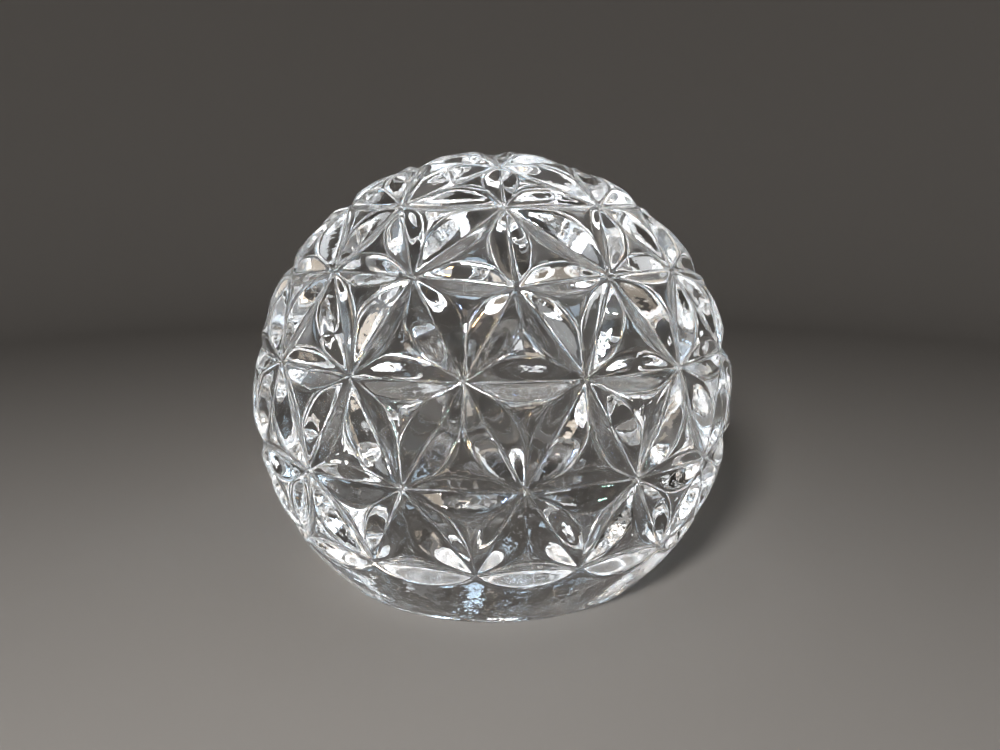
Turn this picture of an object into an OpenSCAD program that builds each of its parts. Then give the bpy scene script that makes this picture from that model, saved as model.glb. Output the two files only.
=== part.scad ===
// Star-cut crystal ball paperweight: one solid ball of clear lead crystal, ground flat
// underneath and covered with leaf-shaped mitre cuts (petals) that meet in stars.
// Millimetres, +Z up. The origin is the middle of the flat base and -Y is the front.

/* [Ball] */
// Diameter of the uncut ball
ball_d = 100; // [80:1:120]
// Latitude at which the ball is ground flat, in degrees below its equator
base_lat = 48; // [44:1:60]

/* [Stars] */
// Latitude of each row of stars, from the top star down, in degrees
row_lat = [90, 70.5, 52.4, 33.9, 13.4, -7.7, -27.3]; // [-28:0.1:90]
// Turn of each row's first star from the front towards +X, in degrees
row_turn = [0, 5, 4.3, 5.5, 19, 6.5, 20.3]; // [0:0.1:24]
// Number of stars in each row
row_count = [1, 5, 10, 15, 15, 15, 15]; // [1:1:15]
// How far the five-petalled stars sit below the rest of their row, in degrees
five_drop = 2.2; // [0:0.1:3]
// Depth of a star's middle under the uncut ball
star_depth = 1; // [0.8:0.1:1.2]
// Depth of the stars of the lowest row, whose petals run out to points
low_star_depth = 0.2; // [0.2:0.1:0.4]

/* [Petals] */
// Width of a petal between two stars of one row, as a share of its length
along_width = 0.34; // [0.32:0.01:0.36]
// Width of a petal between two rows, as a share of its length
across_width = 0.39; // [0.36:0.01:0.4]
// Slope of a petal's two faces from the ball's surface, in degrees
cut_slope = 28; // [24:1:34]

/* [Hidden] */
ball_r = ball_d / 2;
centre_z = ball_r * sin(base_lat);
five_row = 3;
five_every = 3;
neighbour_reach = 0.5;
ridge_steps = 2;
edge_steps = 4;
petal_steps = 2 * ridge_steps + edge_steps;
corner_size = ridge_steps + edge_steps - 1;
usual_corner = 0.34;
band_steps = 3;
halvings = 20;

function unit(v) = v / norm(v);
function mix(a, b, t) = a + (b - a) * t;
function join(lists) = [for (list = lists) for (item = list) item];

// ---- Stars, as directions from the middle of the ball, and the petals that join them ----

function at(lat, turn) = [cos(lat) * sin(turn), -cos(lat) * cos(turn), sin(lat)];
function drop(row, i) = row == five_row && i % five_every == 0 ? five_drop : 0;
function near(i, j) = norm(stars[i] - stars[j]) < neighbour_reach;

last_row = len(row_count) - 1;
star_row = join([for (row = [0:last_row]) [for (i = [1:row_count[row]]) row]]);
stars = join([
  for (row = [0:last_row])
    [
      for (i = [0:row_count[row] - 1])
        at(row_lat[row] - drop(row, i), row_turn[row] + 360 * i / row_count[row])
    ]
]);
star_count = len(stars);
petals = [
  for (i = [0:star_count - 2])
    for (j = [i + 1:star_count - 1])
      if (near(i, j)) [i, j]
];

// Three neighbouring stars, anticlockwise seen from outside.
function is_outward(i, j, k) = cross(stars[j] - stars[i], stars[k] - stars[i]) * stars[i] > 0;
triangles = [
  for (p = petals)
    for (k = [p[1] + 1:1:star_count - 1])
      if (near(p[0], k) && near(p[1], k))
        is_outward(p[0], p[1], k) ? [p[0], p[1], k] : [p[1], p[0], k]
];

// The stars of the lowest row, counted round the ball, with plain glass below them.
rim_count = row_count[last_row];
function rim_star(n) = star_count - rim_count + (n + rim_count) % rim_count;

// ---- A petal: a V groove that is widest and deepest halfway between its stars ----

function depth_at(i) = star_row[i] == last_row ? low_star_depth : star_depth;
function end_width(i) = depth_at(i) / tan(cut_slope);
function length_of(i, j) = ball_r * norm(stars[i] - stars[j]);
function widest(i, j) =
  (star_row[i] == star_row[j] ? along_width : across_width) * length_of(i, j) / 2;
// How much wider it is halfway than its ends are on average.
function bulge(i, j) = widest(i, j) - (end_width(i) + end_width(j)) / 2;
function half_width(i, j, t) =
  mix(end_width(i), end_width(j), t) + bulge(i, j) * 4 * t * (1 - t);
function depth(i, j, t) = half_width(i, j, t) * tan(cut_slope);
function crease(i, j, t) = unit(mix(stars[i], stars[j], t)) * (ball_r - depth(i, j, t));
// The outline to the left of the way from star i to star j, or to its right.
function outline(i, j, t, left = 1) =
  ball_r * unit(
    unit(mix(stars[i], stars[j], t))
      + left * unit(cross(stars[i], stars[j])) * half_width(i, j, t) / ball_r
  );

// ---- The ridge between two petals that overlap near the star they share ----

function heading(i, j) = unit(stars[j] - stars[i] * (stars[i] * stars[j]));
// Share of petal i-j at which its outline meets a line turned from its crease at star i.
function crossing(i, j, turn) =
  let (
    curve = 4 * bulge(i, j),
    lean = length_of(i, j) * tan(turn) - curve - end_width(j) + end_width(i)
  )
    (sqrt(lean * lean + 4 * curve * end_width(i)) - lean) / (2 * curve);
function distance(i, j, turn) = crossing(i, j, turn) * length_of(i, j) / cos(turn);
// Turn from petal i-j, towards petal i-k, at which the two outlines cross.
function halve(i, j, k, angle, low, high, tries) =
  let (turn = (low + high) / 2)
    tries == 0 ? turn
    : distance(i, j, turn) > distance(i, k, angle - turn)
      ? halve(i, j, k, angle, turn, high, tries - 1)
      : halve(i, j, k, angle, low, turn, tries - 1);
function angle_at(i, j, k) = acos(heading(i, j) * heading(i, k));
function ridge_turn(i, j, k) =
  let (angle = angle_at(i, j, k))
    halve(i, j, k, angle, max(0, angle - 89.9), min(89.9, angle), halvings);
function corner_share(i, j, k) = crossing(i, j, ridge_turn(i, j, k));
function depth_beside(i, j, turn, away) =
  depth(i, j, away * cos(turn) / length_of(i, j)) - away * sin(turn) * tan(cut_slope);
function ridge(i, j, k) =
  let (
    angle = angle_at(i, j, k),
    turn = ridge_turn(i, j, k),
    way = (heading(i, j) * sin(angle - turn) + heading(i, k) * sin(turn)) / sin(angle)
  )
    [
      for (s = [1:ridge_steps])
        let (
          away = distance(i, j, turn) * s / ridge_steps,
          both = depth_beside(i, j, turn, away) + depth_beside(i, k, angle - turn, away)
        )
          unit(stars[i] + way * away / ball_r) * (ball_r - max(0, both / 2))
    ];
// The outline between the corners that petal i-j makes with the petals on one side of it.
function edge(i, j, from, to, left = 1) = [
  for (s = [1:edge_steps - 1]) outline(i, j, mix(from, to, s / edge_steps), left)
];

// ---- Points, in blocks: stars, creases, triangles, lower outlines, plain band ----

function crease_share(s) =
  s <= ridge_steps ? usual_corner * s / ridge_steps
  : s >= petal_steps - ridge_steps ? 1 - usual_corner * (petal_steps - s) / ridge_steps
  : mix(usual_corner, 1 - usual_corner, (s - ridge_steps) / edge_steps);
function corner_points(t, c) =
  let (i = t[c], j = t[(c + 1) % 3], k = t[(c + 2) % 3])
    concat(ridge(i, j, k), edge(i, j, corner_share(i, j, k), 1 - corner_share(j, i, k)));
function middle(t) = ball_r * unit(stars[t[0]] + stars[t[1]] + stars[t[2]]);
function rim_points(n) =
  let (
    before = rim_star(n - 1),
    i = rim_star(n),
    j = rim_star(n + 1),
    after = rim_star(n + 2),
    from = corner_share(i, j, before),
    to = 1 - corner_share(j, i, after)
  )
    concat(ridge(i, j, before), edge(i, j, from, to, -1));
function band_column(top) =
  let (lat = asin(top.z / ball_r), turn = atan2(top.x, -top.y))
    [for (level = [1:band_steps]) ball_r * at(mix(lat, -base_lat, level / band_steps), turn)];

star_block = [for (i = [0:star_count - 1]) stars[i] * (ball_r - depth_at(i))];
crease_block = join([
  for (p = petals) [for (s = [1:petal_steps - 1]) crease(p[0], p[1], crease_share(s))]
]);
triangle_block = join([
  for (t = triangles) concat(join([for (c = [0:2]) corner_points(t, c)]), [middle(t)])
]);
rim_block = join([for (n = [0:rim_count - 1]) rim_points(n)]);
band_block = join([
  for (n = [0:rim_count - 1])
    for (s = [ridge_steps:corner_size]) band_column(rim_points(n)[s - 1])
]);

triangle_size = 3 * corner_size + 1;
first_crease = star_count;
first_triangle = first_crease + len(crease_block);
first_rim = first_triangle + len(triangle_block);
first_band = first_rim + len(rim_block);
column_count = rim_count * edge_steps;

// ---- Numbers of the points ----

function petal_number(i, j) =
  [for (p = [0:len(petals) - 1]) if (petals[p] == [min(i, j), max(i, j)]) p][0];
// The crease of the petal from star i to star j, both stars included.
function crease_run(i, j) =
  let (first = first_crease + petal_number(i, j) * (petal_steps - 1) - 1)
    [
      for (s = [0:petal_steps])
        s == 0 ? i : s == petal_steps ? j : first + (i < j ? s : petal_steps - s)
    ];
// Point s of a star's ridge and the outline after it, on corner c of triangle n.
function corner_number(n, c, s) =
  s == 0 ? triangles[n][c] : first_triangle + n * triangle_size + c * corner_size + s - 1;
function middle_number(n) = first_triangle + (n + 1) * triangle_size - 1;
function rim_number(n, s) =
  s == 0 ? rim_star(n) : first_rim + (n % rim_count) * corner_size + s - 1;
// The far side of half a petal: up one ridge, along the outline and down the next ridge.
function far_run(n, c) = [
  for (s = [0:petal_steps])
    s <= corner_size ? corner_number(n, c, s) : corner_number(n, (c + 1) % 3, petal_steps - s)
];
function rim_run(n) = [
  for (s = [0:petal_steps])
    s <= corner_size ? rim_number(n, s) : rim_number(n + 1, petal_steps - s)
];
function band_number(column, level) =
  let (c = column % column_count)
    level == 0
      ? rim_number(floor(c / edge_steps), ridge_steps + c % edge_steps)
      : first_band + c * band_steps + level - 1;

// ---- Faces, clockwise seen from outside ----

function whole(f) = f[0] != f[1] && f[1] != f[2] && f[2] != f[0];
// The strip between two runs of points, the first on the left looking from their start.
function strip(left, right) = [
  for (s = [0:len(left) - 2])
    for (f = [[left[s], left[s + 1], right[s + 1]], [left[s], right[s + 1], right[s]]])
      if (whole(f)) f
];
function petal_faces(n) = join([
  for (c = [0:2])
    strip(far_run(n, c), crease_run(triangles[n][c], triangles[n][(c + 1) % 3]))
]);
function middle_faces(n) =
  let (
    ring = join([
      for (c = [0:2]) [for (s = [ridge_steps:corner_size]) corner_number(n, c, s)]
    ]),
    count = len(ring)
  )
    [for (s = [0:count - 1]) [middle_number(n), ring[(s + 1) % count], ring[s]]];
function rim_faces(n) = strip(crease_run(rim_star(n), rim_star(n + 1)), rim_run(n));
function band_faces(level) = strip(
  [for (column = [0:column_count]) band_number(column, level)],
  [for (column = [0:column_count]) band_number(column, level + 1)]
);
base_face = [for (column = [0:column_count - 1]) band_number(column, band_steps)];

module crystal_ball() {
  color([0.86, 0.9, 0.93, 0.4])
    translate([0, 0, centre_z])
      polyhedron(
        points = concat(star_block, crease_block, triangle_block, rim_block, band_block),
        faces = concat(
          join([for (n = [0:len(triangles) - 1]) concat(petal_faces(n), middle_faces(n))]),
          join([for (n = [0:rim_count - 1]) rim_faces(n)]),
          join([for (level = [0:band_steps - 1]) band_faces(level)]),
          [base_face]
        )
      );
}

crystal_ball();
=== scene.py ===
import math
import random

import bmesh
import bpy
import numpy as np
from mathutils import Matrix, Vector


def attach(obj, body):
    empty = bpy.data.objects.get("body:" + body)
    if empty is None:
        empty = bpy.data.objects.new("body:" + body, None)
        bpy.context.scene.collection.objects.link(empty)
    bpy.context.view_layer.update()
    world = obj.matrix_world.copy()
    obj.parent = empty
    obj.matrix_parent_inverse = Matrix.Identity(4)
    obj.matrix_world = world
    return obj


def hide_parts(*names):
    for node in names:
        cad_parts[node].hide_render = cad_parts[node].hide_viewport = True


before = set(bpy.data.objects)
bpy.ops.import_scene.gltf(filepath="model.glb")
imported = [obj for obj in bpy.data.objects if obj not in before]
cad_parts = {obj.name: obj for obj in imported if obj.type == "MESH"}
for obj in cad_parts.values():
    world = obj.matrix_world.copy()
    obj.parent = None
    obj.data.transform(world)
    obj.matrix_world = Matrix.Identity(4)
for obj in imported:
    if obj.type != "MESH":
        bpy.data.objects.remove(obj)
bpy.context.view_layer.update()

MM = 0.001

# ---- Driving dimensions: the ball, its rows of stars and the petals between them ----

BASE_LAT = 48.0
BALL_R = 50 * MM
CENTRE = np.array((0, 0, BALL_R * math.sin(math.radians(BASE_LAT))))
ROW_LAT = (90, 70.5, 52.4, 33.9, 13.4, -7.7, -27.3)
ROW_TURN = (0, 5, 4.3, 5.5, 19, 6.5, 20.3)
ROW_COUNT = (1, 5, 10, 15, 15, 15, 15)
FIVE_ROW, FIVE_EVERY, FIVE_DROP = 3, 3, 2.2
NEIGHBOUR_REACH = 0.5
STAR_DEPTH, LOW_STAR_DEPTH = 1.0 * MM, 0.2 * MM
ALONG_WIDTH, ACROSS_WIDTH = 0.34, 0.39
CUT_SLOPE = math.tan(math.radians(28))

# Hand cutting and polishing: wandering stars, uneven widths and rounded edges.
SEED = 11
STAR_WANDER = 0.15 * MM
WIDTH_SPREAD = 0.02
CREASE_ROUND = 0.33 * MM
RIDGE_ROUND = 0.16 * MM

# ---- Mesh density ----

RIDGE_STEPS, EDGE_STEPS = 5, 9
USUAL_CORNER = 0.34
ACROSS = np.array((0, 0.03, 0.08, 0.18, 0.42, 0.68, 0.86, 0.94, 1))
PATCH_RINGS = np.array((1, 0.94, 0.82, 0.5, 0))
BAND_LEVELS = np.array((0, 0.03, 0.09, 0.2, 0.4, 0.6, 0.8, 1))
BASE_EDGE = 0.5 * MM
BASE_EDGE_BEND = (0.25, 0.5)  # shares of the edge's width and height at its middle
BASE_RINGS = (0.97, 0.8, 0.4, 0)
WIDEST_TURN, HALVINGS = 1.57, 30
WELD = 0.002 * MM

# ---- Picture: where the ball sits, as shares of the picture's width from its middle ----

SENSOR = 36
LENS = 30.6
PITCH = math.radians(11.2)
BALL_ACROSS, BALL_UP, BALL_RADIUS = -0.007, -0.0145, 0.24

# ---- Glass: its colour, the ripple of its polish, the wheel's streaks and the worn foot ----

GLASS, GLASS_IOR = (0.985, 0.99, 0.995, 1), 1.55
RIPPLE_SCALE, RIPPLE_STRENGTH, RIPPLE_DEPTH = 400, 0.4, 0.1 * MM
STREAKS = (0.1, 1.5, 0)  # noise to a millimetre along, across and out of a groove
STREAK_DEPTH = 0.004 * MM
FOOT_ROUGHNESS, FOOT_START, FOOT_END, SCUFF_SCALE = 0.3, 0.2 * MM, 0.5 * MM, 900

# ---- Studio: a floor that sweeps up all round, two soft lights and small cards ----

FLOOR, FLOOR_ROUGHNESS = (0.34, 0.32, 0.3, 1), 0.9
FLOOR_LEVEL = -0.1 * MM
SWEEP_START, SWEEP_R, WALL_HEIGHT = 0.4, 0.2, 1.0
SWEEP_STEPS, ROUND_STEPS = 12, 96
WORLD = (0.002, 0.002, 0.002, 1)

# Each light's place, side and radiance.
KEY = (-0.09, -0.36, 0.24), 0.06, 125
OVERHEAD = (0.08, -0.04, 0.6), 0.4, 0.8
WHITE = (1, 1, 1)

# Each set of cards: its axis, widest angle from it, number, and ranges of side and radiance.
# None stands low behind the ball, where the crystal shows the plain wall.
UP, FRONT = (0, 0, 1), (0, -math.cos(PITCH), math.sin(PITCH))
TINTS = ((0.65, 0.83, 1), (0.95, 0.98, 1), (1, 0.86, 0.7), (0.9, 0.95, 1))
GLINT_TINTS = ((0.3, 0.5, 1), (1, 1, 1), (1, 0.6, 0.25), (0.5, 1, 0.9))
CARDS = {
    "dome": (UP, 86, 90, (0.035, 0.08), (0.6, 9), TINTS),
    "front": (FRONT, 38, 80, (0.02, 0.055), (0.8, 12), TINTS),
    "glint": (FRONT, 45, 40, (0.008, 0.01), (150, 300), GLINT_TINTS),
}
CARD_DISTANCE = 0.45
BEHIND, LOW = 0.5, 0.6
GOLDEN_TURN = math.pi * (3 - math.sqrt(5))
MAX_BOUNCES, GLOSSY_BOUNCES = 16, 12


def add_camera():
    """A camera just above the ball, which shows the ball's outline at its size and place."""
    data = bpy.data.cameras.new("camera")
    data.sensor_width = SENSOR
    data.lens = LENS
    data.clip_start = 0.01
    camera = bpy.data.objects.new("camera", data)
    bpy.context.scene.collection.objects.link(camera)
    right = Vector((1, 0, 0))
    up = Vector((0, math.sin(PITCH), math.cos(PITCH)))
    ahead = Vector((0, math.cos(PITCH), -math.sin(PITCH)))
    distance = BALL_R * math.hypot(1, LENS / SENSOR / BALL_RADIUS)
    ray = ahead + (right * BALL_ACROSS + up * BALL_UP) * SENSOR / LENS
    place = Vector(CENTRE) - ray.normalized() * distance
    turn = Matrix((right, up, -ahead)).transposed()
    camera.matrix_world = Matrix.Translation(place) @ turn.to_4x4()
    bpy.context.scene.camera = camera


# ---- Stars and petals ----


def unit(vectors):
    return vectors / np.linalg.norm(vectors, axis=-1, keepdims=True)


def direction(lat, turn):
    lat, turn = np.broadcast_arrays(np.radians(lat), np.radians(turn))
    flat = np.cos(lat)
    return np.stack((flat * np.sin(turn), -flat * np.cos(turn), np.sin(lat)), axis=-1)


def lay_out_stars(rng):
    """Each star's direction from the middle of the ball, and its row."""
    stars, rows = [], []
    for row, count in enumerate(ROW_COUNT):
        for i in range(count):
            drop = FIVE_DROP if row == FIVE_ROW and i % FIVE_EVERY == 0 else 0
            star = direction(ROW_LAT[row] - drop, ROW_TURN[row] + 360 * i / count)
            wander = np.array([rng.gauss(0, 1) for _ in range(3)]) * STAR_WANDER / BALL_R
            stars.append(unit(star + wander))
            rows.append(row)
    return np.array(stars), rows


class Petal:
    """A V groove from one star to another, widest and deepest halfway."""

    def __init__(self, start, end, share, start_depth, end_depth):
        self.start, self.end = start, end
        self.length = BALL_R * np.linalg.norm(end - start)
        self.start_width = start_depth / CUT_SLOPE
        self.widening = (end_depth - start_depth) / CUT_SLOPE
        self.bulge = 4 * (share * self.length / 2 - self.start_width - self.widening / 2)
        self.left = unit(np.cross(start, end))
        self.along = unit(np.cross(self.left, start + end))

    def half_width(self, t):
        return self.start_width + self.widening * t + self.bulge * t * (1 - t)

    def crease(self, t):
        """Directions along the crease, with t from 0 at the start to 1 at the end."""
        return unit(self.start + (self.end - self.start) * t[:, None])

    def outline(self, t):
        """Directions along the outline to the left of the crease."""
        return unit(self.crease(t) + self.left * self.half_width(t)[:, None] / BALL_R)

    def depth(self, directions):
        """How far the groove's faces lie under the uncut ball, with a round end at each star."""
        side = directions @ self.left * BALL_R
        t = directions @ self.along * BALL_R / self.length + 0.5
        inside = np.clip(t, 0, 1)
        beyond = (t - inside) * self.length
        away = np.sqrt(side**2 + beyond**2 + CREASE_ROUND**2)
        return (self.half_width(inside) - away) * CUT_SLOPE

    def marks(self, directions):
        """Millimetres along and across the groove, and 1 for glass that the wheel has cut."""
        along = directions @ self.along * BALL_R / MM
        across = directions @ self.left * BALL_R / MM
        return np.stack((along, across, np.ones_like(along)), axis=-1)

    def crossing(self, turn):
        """Share at which the outline meets a line turned from the crease at the start."""
        lean = self.length * math.tan(turn) - self.bulge - self.widening
        return (math.sqrt(lean**2 + 4 * self.bulge * self.start_width) - lean) / (2 * self.bulge)

    def reach(self, turn):
        """Distance from the start to that point."""
        return self.crossing(turn) * self.length / math.cos(turn)

    def heading(self):
        return unit(self.end - self.start * (self.start @ self.end))


class Corner:
    """The ridge between two petals that leave one star, out to where their outlines cross."""

    def __init__(self, ahead, behind):
        angle = math.acos(ahead.heading() @ behind.heading())
        low, high = max(0, angle - WIDEST_TURN), min(angle, WIDEST_TURN)
        for _ in range(HALVINGS):
            turn = (low + high) / 2
            if ahead.reach(turn) > behind.reach(angle - turn):
                low = turn
            else:
                high = turn
        way = ahead.heading() * math.sin(angle - turn) + behind.heading() * math.sin(turn)
        self.star = ahead.start
        self.way = unit(way) * ahead.reach(turn) / BALL_R
        self.ahead_share = ahead.crossing(turn)
        self.behind_share = behind.crossing(angle - turn)

    def ridge(self, shares):
        return unit(self.star + self.way * shares[:, None])


def lay_out_petals(rng, stars, rows):
    """The petals by their two stars, each in both directions."""
    petals = {}
    depths = [LOW_STAR_DEPTH if row == max(rows) else STAR_DEPTH for row in rows]
    for i, star in enumerate(stars):
        for j in range(i + 1, len(stars)):
            if np.linalg.norm(star - stars[j]) < NEIGHBOUR_REACH:
                share = ALONG_WIDTH if rows[i] == rows[j] else ACROSS_WIDTH
                share *= 1 + rng.uniform(-WIDTH_SPREAD, WIDTH_SPREAD)
                petals[i, j] = Petal(star, stars[j], share, depths[i], depths[j])
                petals[j, i] = Petal(stars[j], star, share, depths[j], depths[i])
    return petals


def find_triangles(stars, petals):
    """Three stars joined by petals, anticlockwise seen from outside."""
    triangles = []
    for i, j in petals:
        for k in range(max(i, j) + 1, len(stars)):
            if (j, k) in petals and (k, i) in petals:
                if np.cross(stars[j] - stars[i], stars[k] - stars[i]) @ stars[i] > 0:
                    triangles.append((i, j, k))
    return triangles


# ---- The cut surface ----


def smooth_max(values, width):
    """The largest of the rows, with the edges where two of them meet rounded off."""
    peak = values.max(axis=0)
    return peak + width * np.log(np.exp((values - peak) / width).sum(axis=0))


def surface(directions, petals):
    """Points of the cut surface in these directions, given the petals that pass near."""
    depths = [petal.depth(directions) for petal in petals]
    depths.append(np.zeros(directions.shape[:-1]))
    sunk = smooth_max(np.array(depths), RIDGE_ROUND)
    return CENTRE + directions * (BALL_R - sunk)[..., None]


class Sheets:
    """Grids of points with quads between them, welded where their edges coincide."""

    def __init__(self):
        self.points, self.faces, self.marks = [], [], []

    def add(self, rows, marks=None):
        """Add a grid of points, with their places in the groove if the wheel has cut it."""
        first = len(self.points)
        height, width = rows.shape[:2]
        self.points += rows.reshape(-1, 3).tolist()
        self.marks.append(np.zeros((height * width, 3)) if marks is None else marks.reshape(-1, 3))
        for r in range(height - 1):
            for a in range(first + r * width, first + (r + 1) * width - 1):
                self.faces.append((a, a + 1, a + width + 1, a + width))

    def mesh(self, name):
        mesh = bpy.data.meshes.new(name)
        mesh.from_pydata(self.points, [], self.faces)
        corners = np.concatenate(self.marks)[np.array(self.faces).ravel()]
        layer = mesh.attributes.new("wheel_marks", "FLOAT_VECTOR", "CORNER")
        layer.data.foreach_set("vector", corners.ravel())
        shape = bmesh.new()
        shape.from_mesh(mesh)
        bmesh.ops.remove_doubles(shape, verts=shape.verts, dist=WELD)
        bmesh.ops.recalc_face_normals(shape, faces=shape.faces)
        for face in shape.faces:
            face.smooth = True
        shape.to_mesh(mesh)
        shape.free()
        return mesh


def crease_shares():
    """Shares along a petal for the points of its crease, which face those of its far side."""
    ridge = np.linspace(0, USUAL_CORNER, RIDGE_STEPS + 1)
    edge = np.linspace(USUAL_CORNER, 1 - USUAL_CORNER, EDGE_STEPS + 1)
    return np.concatenate((ridge, edge[1:-1], 1 - ridge[::-1]))


def far_side(petal, first, last):
    """Directions along the far side of half a petal: ridge, outline and ridge."""
    rising = first.ridge(np.linspace(0, 1, RIDGE_STEPS + 1))
    shares = np.linspace(first.ahead_share, 1 - last.behind_share, EDGE_STEPS + 1)
    falling = last.ridge(np.linspace(1, 0, RIDGE_STEPS + 1))
    return np.concatenate((rising, petal.outline(shares[1:-1]), falling))


def add_half_petals(sheets, petals, loop, close):
    """The half petals inside a loop of stars; returns directions round their outlines."""
    after = loop[1:] + loop[:1]
    before = loop[-1:] + loop[:-1]
    sides = [petals[pair] for pair in zip(loop, after)]
    corners = [Corner(side, petals[pair]) for side, pair in zip(sides, zip(loop, before))]
    ring = []
    for side, first, last in zip(sides, corners, corners[1:] + corners[:1]):
        far = far_side(side, first, last)
        near = side.crease(crease_shares())
        grid = unit(near + (far - near) * ACROSS[:, None, None])
        sheets.add(surface(grid, close), side.marks(grid))
        ring.append(far[RIDGE_STEPS : -RIDGE_STEPS - 1])
    return np.concatenate(ring + ring[:1])[: len(loop) * EDGE_STEPS + 1]


def add_patch(sheets, ring, close):
    """The piece of plain ball that three petals leave between them."""
    middle = unit(ring[:-1].sum(axis=0))
    grid = unit(middle + (ring - middle) * PATCH_RINGS[:, None, None])
    sheets.add(surface(grid, close))


def add_band(sheets, ring, close):
    """The plain glass below the petals, the rounded edge of the base and its flat."""
    lats = np.degrees(np.arcsin(ring[:, 2]))
    turns = np.degrees(np.arctan2(ring[:, 0], -ring[:, 1]))
    lowest = -math.degrees(math.asin((CENTRE[2] - BASE_EDGE) / BALL_R))
    grid = direction(lats + (lowest - lats) * BAND_LEVELS[:, None], turns)
    sheets.add(surface(grid, close))
    side = surface(grid[-1], close)
    flat_radius = BALL_R * math.cos(math.radians(BASE_LAT))
    flat = direction(0, turns) * flat_radius
    out, up = BASE_EDGE_BEND
    bend = (flat + (side - flat) * out) * (1, 1, up)
    rim = flat * (1 - BASE_EDGE / flat_radius)
    sheets.add(np.array([side, bend, rim] + [rim * share for share in BASE_RINGS]))


def petals_at(petals, loop):
    """Each petal that meets a star of the loop, once."""
    return [petal for (i, j), petal in petals.items() if i < j and (i in loop or j in loop)]


def ball_mesh():
    rng = random.Random(SEED)
    stars, rows = lay_out_stars(rng)
    petals = lay_out_petals(rng, stars, rows)
    sheets = Sheets()
    for triangle in find_triangles(stars, petals):
        close = petals_at(petals, triangle)
        ring = add_half_petals(sheets, petals, triangle, close)
        add_patch(sheets, ring, close)
    rim = tuple(reversed(range(len(stars) - ROW_COUNT[-1], len(stars))))
    close = petals_at(petals, rim)
    add_band(sheets, add_half_petals(sheets, petals, rim, close), close)
    return sheets.mesh("cut_crystal")


# ---- Materials ----


def add_node(mat, kind, **settings):
    """A node of the material with its inputs set; an output given for one is linked to it."""
    node = mat.node_tree.nodes.new(kind)
    for name, value in settings.items():
        socket = node.inputs[name.replace("_", " ")]
        if isinstance(value, bpy.types.NodeSocket):
            mat.node_tree.links.new(value, socket)
        else:
            socket.default_value = value
    return node


def crystal_material():
    """Clear lead crystal: rippled by polishing, streaked by the wheel and scuffed at its foot."""
    mat = bpy.data.materials.new("lead_crystal")
    mat.use_nodes = True
    shader = mat.node_tree.nodes["Principled BSDF"]
    shader.inputs["Base Color"].default_value = GLASS
    shader.inputs["IOR"].default_value = GLASS_IOR
    shader.inputs["Transmission Weight"].default_value = 1
    place = mat.node_tree.nodes.new("ShaderNodeTexCoord").outputs["Object"]

    ripple = add_node(mat, "ShaderNodeTexNoise", Vector=place, Scale=RIPPLE_SCALE, Detail=2)
    rippled = add_node(
        mat,
        "ShaderNodeBump",
        Height=ripple.outputs["Fac"],
        Strength=RIPPLE_STRENGTH,
        Distance=RIPPLE_DEPTH,
    )
    marks = mat.node_tree.nodes.new("ShaderNodeAttribute")
    marks.attribute_name = "wheel_marks"
    cut = add_node(mat, "ShaderNodeSeparateXYZ", Vector=marks.outputs["Vector"])
    stretched = add_node(mat, "ShaderNodeMapping", Vector=marks.outputs["Vector"], Scale=STREAKS)
    streak = add_node(
        mat, "ShaderNodeTexNoise", Vector=stretched.outputs["Vector"], Scale=1, Detail=2
    )
    streaked = add_node(
        mat,
        "ShaderNodeBump",
        Height=streak.outputs["Fac"],
        Strength=cut.outputs["Z"],
        Distance=STREAK_DEPTH,
        Normal=rippled.outputs["Normal"],
    )
    mat.node_tree.links.new(streaked.outputs["Normal"], shader.inputs["Normal"])

    height = add_node(mat, "ShaderNodeSeparateXYZ", Vector=place)
    scuff = add_node(mat, "ShaderNodeTexNoise", Vector=place, Scale=SCUFF_SCALE, Detail=4)
    foot = add_node(
        mat,
        "ShaderNodeMapRange",
        Value=height.outputs["Z"],
        From_Min=FOOT_START,
        From_Max=FOOT_END,
        To_Min=FOOT_ROUGHNESS,
        To_Max=0,
    )
    worn = mat.node_tree.nodes.new("ShaderNodeMath")
    worn.operation = "MULTIPLY"
    mat.node_tree.links.new(foot.outputs["Result"], worn.inputs[0])
    mat.node_tree.links.new(scuff.outputs["Fac"], worn.inputs[1])
    mat.node_tree.links.new(worn.outputs["Value"], shader.inputs["Roughness"])
    return mat


def floor_material():
    mat = bpy.data.materials.new("pale_floor")
    mat.use_nodes = True
    shader = mat.node_tree.nodes["Principled BSDF"]
    shader.inputs["Base Color"].default_value = FLOOR
    shader.inputs["Roughness"].default_value = FLOOR_ROUGHNESS
    shader.inputs["Specular IOR Level"].default_value = 0
    return mat


# ---- Objects ----


def add_object(name, mesh, material):
    mesh.materials.append(material)
    thing = bpy.data.objects.new(name, mesh)
    bpy.context.scene.collection.objects.link(thing)
    return thing


def add_crystal_ball():
    ball = add_object("cut_crystal", ball_mesh(), crystal_material())
    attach(ball, "root")
    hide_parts("crystal_ball")


def add_floor():
    """A round pale floor that sweeps up into a plain wall on all sides."""
    profile = [(0, 0), (SWEEP_START, 0)]
    for step in range(1, SWEEP_STEPS + 1):
        turn = math.radians(90 * step / SWEEP_STEPS)
        profile.append((SWEEP_START + SWEEP_R * math.sin(turn), SWEEP_R * (1 - math.cos(turn))))
    profile.append((SWEEP_START + SWEEP_R, WALL_HEIGHT))
    sheets = Sheets()
    turns = np.linspace(0, 360, ROUND_STEPS + 1)
    rings = [direction(0, turns) * radius + (0, 0, FLOOR_LEVEL + rise) for radius, rise in profile]
    sheets.add(np.array(rings))
    add_object("floor", sheets.mesh("floor"), floor_material())


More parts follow.
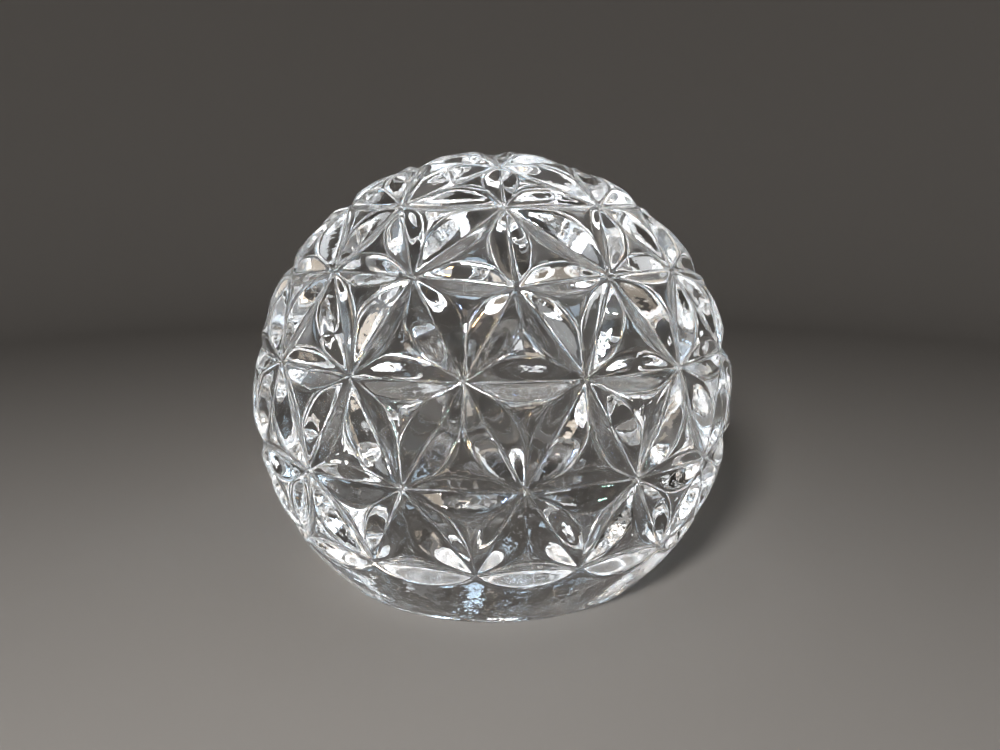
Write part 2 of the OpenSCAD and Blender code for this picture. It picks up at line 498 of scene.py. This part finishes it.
def add_lamp(name, place, size, radiance, colour):
    """An area light that faces the ball and isn't seen by the camera itself."""
    data = bpy.data.lights.new(name, "AREA")
    data.shape = "RECTANGLE"
    data.size, data.size_y = size
    data.energy = radiance * math.pi * size[0] * size[1]
    data.color = colour
    lamp = bpy.data.objects.new(name, data)
    lamp.location = place
    lamp.rotation_euler = (Vector(CENTRE) - Vector(place)).to_track_quat("-Z", "Y").to_euler()
    lamp.visible_camera = False
    bpy.context.scene.collection.objects.link(lamp)
    return lamp


def spread(axis, widest, count):
    """Directions spread evenly within an angle of an axis."""
    side = Vector(axis).orthogonal().normalized()
    other = Vector(axis).cross(side)
    for n in range(count):
        along = 1 - (1 - math.cos(math.radians(widest))) * (n + 0.5) / count
        turn = GOLDEN_TURN * n
        off = side * math.cos(turn) + other * math.sin(turn)
        yield Vector(axis) * along + off * math.sqrt(1 - along**2)


def add_cards(rng, name, axis, widest, count, sizes, radiances, tints):
    """Small bright cards that light the crystal's facets, but not the floor."""
    for n, way in enumerate(spread(axis, widest, count)):
        size = rng.uniform(*sizes)
        radiance = math.exp(rng.uniform(*map(math.log, radiances)))
        shape = (size, size * rng.uniform(0.5, 1))
        place = Vector(CENTRE) + way * CARD_DISTANCE
        behind = way.y > BEHIND and way.z < LOW
        if place.z > size and not behind:
            lamp = add_lamp(f"{name}_{n}", place, shape, radiance, tints[n % len(tints)])
            lamp.visible_diffuse = False


def add_lights():
    for name, (place, side, radiance) in {"key": KEY, "overhead": OVERHEAD}.items():
        add_lamp(name, place, (side, side), radiance, WHITE)
    rng = random.Random(SEED)
    for name, settings in CARDS.items():
        add_cards(rng, name, *settings)


def add_world():
    world = bpy.data.worlds.new("studio")
    bpy.context.scene.world = world
    world.use_nodes = True
    world.node_tree.nodes["Background"].inputs["Color"].default_value = WORLD


def let_light_through():
    """Enough bounces for light that is reflected several times inside the crystal."""
    cycles = bpy.context.scene.cycles
    cycles.max_bounces = MAX_BOUNCES
    cycles.glossy_bounces = GLOSSY_BOUNCES
    cycles.transmission_bounces = MAX_BOUNCES


def set_contrast():
    """The strong contrast of cut crystal, with whites that stay white."""
    view = bpy.context.scene.view_settings
    view.view_transform = "Standard"
    view.look = "Medium High Contrast"


add_camera()
add_crystal_ball()
add_floor()
add_lights()
add_world()
let_light_through()
set_contrast()
